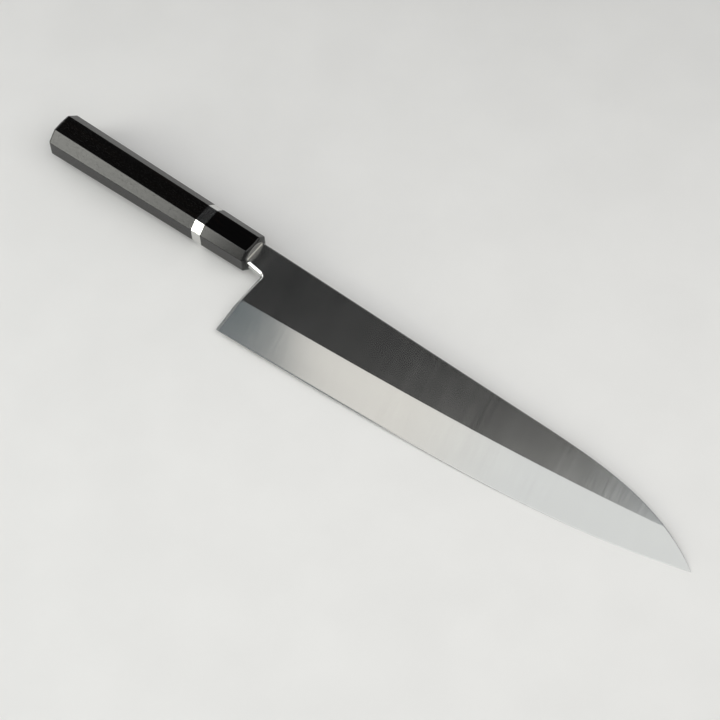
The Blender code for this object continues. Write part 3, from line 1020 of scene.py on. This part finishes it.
def pale_wood():
    finish = Finish("pale_wood", Metallic=0.0)
    wander = finish.noise((finish.x * 0.02, finish.y * 0.3, finish.z * 0.3), detail=2.0)
    rings = finish.noise((finish.x * 0.004, (finish.y + wander * 3.0) * 1.2, finish.z * 0.15), detail=1.0)
    fibre = finish.noise((finish.x * 0.12, finish.y * 4.0, finish.z * 4.0), detail=3.0, seed=7.0)
    share = rings * 0.7 + fibre * 0.3
    colour = share.eased(0.3, 0.7).blend(EARLY_WOOD, LATE_WOOD)
    return finish.paint(colour, 0.55 + fibre * 0.15, fibre, FIBRE_DEPTH)


dowel = frame["nodes"]["core_dowel"]
dowel.material_slots[0].material = pale_wood()
print("dowel keeps its packed mesh,", len(dowel.data.polygons), "faces")

# %% [markdown]
# ## Floor
#
# The knife lies on a plain pale floor, large enough for every view. It is matt, with the faintest
# unevenness, so that the shadow under the knife is the only thing on it that draws the eye.

# %% The floor
FLOOR_REACH = 6.0
FLOOR_DARK = (0.745, 0.745, 0.740)
FLOOR_LIGHT = (0.775, 0.775, 0.770)
FLOOR_UNEVEN = 0.000005


def pale_floor():
    finish = Finish("pale_floor", Metallic=0.0)
    mottle = finish.noise((finish.x * 0.02, finish.y * 0.02, finish.z * 0.02), detail=5.0)
    colour = mottle.eased(0.2, 0.8).blend(FLOOR_DARK, FLOOR_LIGHT)
    return finish.paint(colour, 0.65 + mottle * 0.05, mottle, FLOOR_UNEVEN)


shape = bmesh.new()
bmesh.ops.create_grid(shape, x_segments=8, y_segments=8, size=FLOOR_REACH)
floor_mesh = bpy.data.meshes.new("floor")
shape.to_mesh(floor_mesh)
shape.free()
floor = bpy.data.objects.new("floor", floor_mesh)
bpy.context.scene.collection.objects.link(floor)
floor.data.materials.append(pale_floor())
print("floor reaches", FLOOR_REACH, "m each way")

# %% [markdown]
# ## Light
#
# A softbox is a lamp behind a large white sheet, and an area lamp stands for it here. Polished
# metal mirrors that sheet, and how bright it looks there depends on its radiance and not on its
# size. So each lamp is given by the radiance of its face, and its power follows.

# %% Softboxes
def softbox(name, centre, turn, size, radiance, colour):
    """An area lamp whose face gives the same radiance all over."""
    lamp = bpy.data.lights.new(name, "AREA")
    lamp.shape = "RECTANGLE"
    lamp.size, lamp.size_y = size
    lamp.energy = radiance * math.pi * size[0] * size[1]
    lamp.color = colour
    obj = bpy.data.objects.new(name, lamp)
    obj.matrix_world = Matrix.Translation(centre) @ turn.to_4x4()
    bpy.context.scene.collection.objects.link(obj)
    print(name, "at", [round(value, 2) for value in centre], "m,", round(lamp.energy, 2), "W")


def aimed_softbox(name, centre, aim, size, radiance, colour):
    """A softbox that faces the point at aim on the world's X axis."""
    centre = Vector(centre)
    turn = (Vector((aim, 0.0, 0.0)) - centre).to_track_quat("-Z", "Y").to_matrix()
    softbox(name, centre, turn, size, radiance, colour)


# %% [markdown]
# Since metal shows what it mirrors, the lamps are placed by what each face of the knife looks at.
# From the camera, the bevel mirrors a patch of the ceiling just above the knife, and the flat
# mirrors one further back. A large softbox hangs with its far edge between the two: the bevel sees
# it and is pale, the flat sees past it and is dark, and both change along the blade. A narrow cool
# softbox beside it is all that the bevel sees at the heel.

# %% The lamps above
CEILING_PLACE = Vector((0.557, 0.164, 0.650))
CEILING_TURN = 0.705
CEILING_LENGTH = 1.396
CEILING_WIDTH = 0.76
SPILL_LENGTH = 0.384

turn = LAY.to_3x3() @ Matrix.Rotation(CEILING_TURN, 3, "Z")
centre = LAY @ CEILING_PLACE
size = (CEILING_LENGTH, CEILING_WIDTH)
softbox("ceiling_softbox", centre, turn, size, radiance=1.19, colour=(1.0, 0.99, 0.955))
centre = centre - turn @ Vector(((CEILING_LENGTH + SPILL_LENGTH) / 2, 0.0, 0.0))
size = (SPILL_LENGTH, CEILING_WIDTH)
softbox("ceiling_spill", centre, turn, size, radiance=0.24, colour=(0.86, 1.0, 1.08))

# %% [markdown]
# The other lamps are aimed at a point along the knife. The near facets of the handle and the
# polished neck mirror a small bright one that stands low at the side, and a weaker one hangs above
# it, so that the reflection fades towards the blade. Two large weak ones, on the left and in front,
# soften the shadows.

# %% The lamps at the sides
aimed_softbox("side_softbox", (-0.989, -0.9925, 0.48), aim=-0.17, size=(0.80, 0.66),
              radiance=6.3, colour=(1.0, 1.0, 0.93))
aimed_softbox("high_softbox", (-0.70, -0.67, 0.95), aim=-0.12, size=(0.80, 0.60),
              radiance=1.3, colour=(1.0, 1.0, 1.0))
aimed_softbox("left_softbox", (-2.1, 0.35, 1.0), aim=-0.10, size=(1.6, 1.2),
              radiance=1.5, colour=(1.0, 1.0, 1.0))
aimed_softbox("fill_softbox", (1.4, -1.3, 1.3), aim=0.0, size=(1.2, 1.2),
              radiance=0.95, colour=(1.0, 0.99, 0.97))

# %% [markdown]
# The room around is an even grey, which fills the shadows and shows in every rounded edge. It has
# one dark patch, with a soft border, where the blade's flat and the handle's upper facet mirror it.
# A black card hung there would do the same, but the world's own nodes need no extra object.

# %% The room
ROOM_GREY = (0.36, 0.36, 0.36)
DARK_GREY = (0.003, 0.004, 0.005)
DARK_WAY = LAY.to_3x3() @ Vector((-0.317, 0.212, 0.926)).normalized()
DARK_INSIDE = math.radians(20.0)
DARK_OUTSIDE = math.radians(34.0)

world = bpy.data.worlds.new("studio")
world.use_nodes = True
tree = world.node_tree
direction = node(tree, "TexCoord", {}, {}, "Generated")
nearness = node(tree, "VectorMath", {"operation": "DOT_PRODUCT"}, {0: direction, 1: DARK_WAY}, 1)
dark = nearness.eased(math.cos(DARK_OUTSIDE), math.cos(DARK_INSIDE))
sky = dark.blend(ROOM_GREY, DARK_GREY)
tree.links.new(sky.socket, tree.nodes["Background"].inputs["Color"])
bpy.context.scene.world = world
print("dark patch:", round(math.degrees(2 * DARK_OUTSIDE)), "degrees across with its soft border")

# %% [markdown]
# ## Camera
#
# A long lens from 1.6 m away, looking down at 54 degrees, keeps the knife's lines nearly parallel.
# The camera goes round the knife by its azimuth, looks down by its elevation at a point beside the
# middle of the knife, and is tilted sideways by less than a degree, as a camera in the hand is. The
# view transform is Standard, so that colours keep the values that the finishes give them.

# %% The camera
CAMERA_TARGET = Vector((0.00524, 0.00262, 0.0))
CAMERA_DISTANCE = 1.57048
CAMERA_AZIMUTH = math.radians(-51.6305)
CAMERA_ELEVATION = math.radians(54.1783)
CAMERA_ROLL = math.radians(-0.6914)
LENS_MM = 140.0
FILM_WIDTH_MM = 36.0
FARTHEST = 50.0

camera_data = bpy.data.cameras.new("camera")
camera_data.lens = LENS_MM
camera_data.sensor_width = FILM_WIDTH_MM
camera_data.clip_end = FARTHEST
camera = bpy.data.objects.new("camera", camera_data)
camera_turn = (Matrix.Rotation(CAMERA_AZIMUTH + math.pi / 2, 4, "Z")
               @ Matrix.Rotation(math.pi / 2 - CAMERA_ELEVATION, 4, "X")
               @ Matrix.Rotation(CAMERA_ROLL, 4, "Z"))
backward = camera_turn.to_3x3() @ Vector((0.0, 0.0, 1.0))
camera.matrix_world = Matrix.Translation(CAMERA_TARGET + backward * CAMERA_DISTANCE) @ camera_turn
bpy.context.scene.collection.objects.link(camera)
bpy.context.scene.camera = camera
bpy.context.scene.view_settings.view_transform = "Standard"
print("camera at", [round(value, 3) for value in camera.matrix_world.translation], "m")

# %% [markdown]
# ## The end
#
# The finer meshes must not be larger than the imported solids. Last, the scene is brought
# up to date.

# %% The end
bpy.context.view_layer.update()
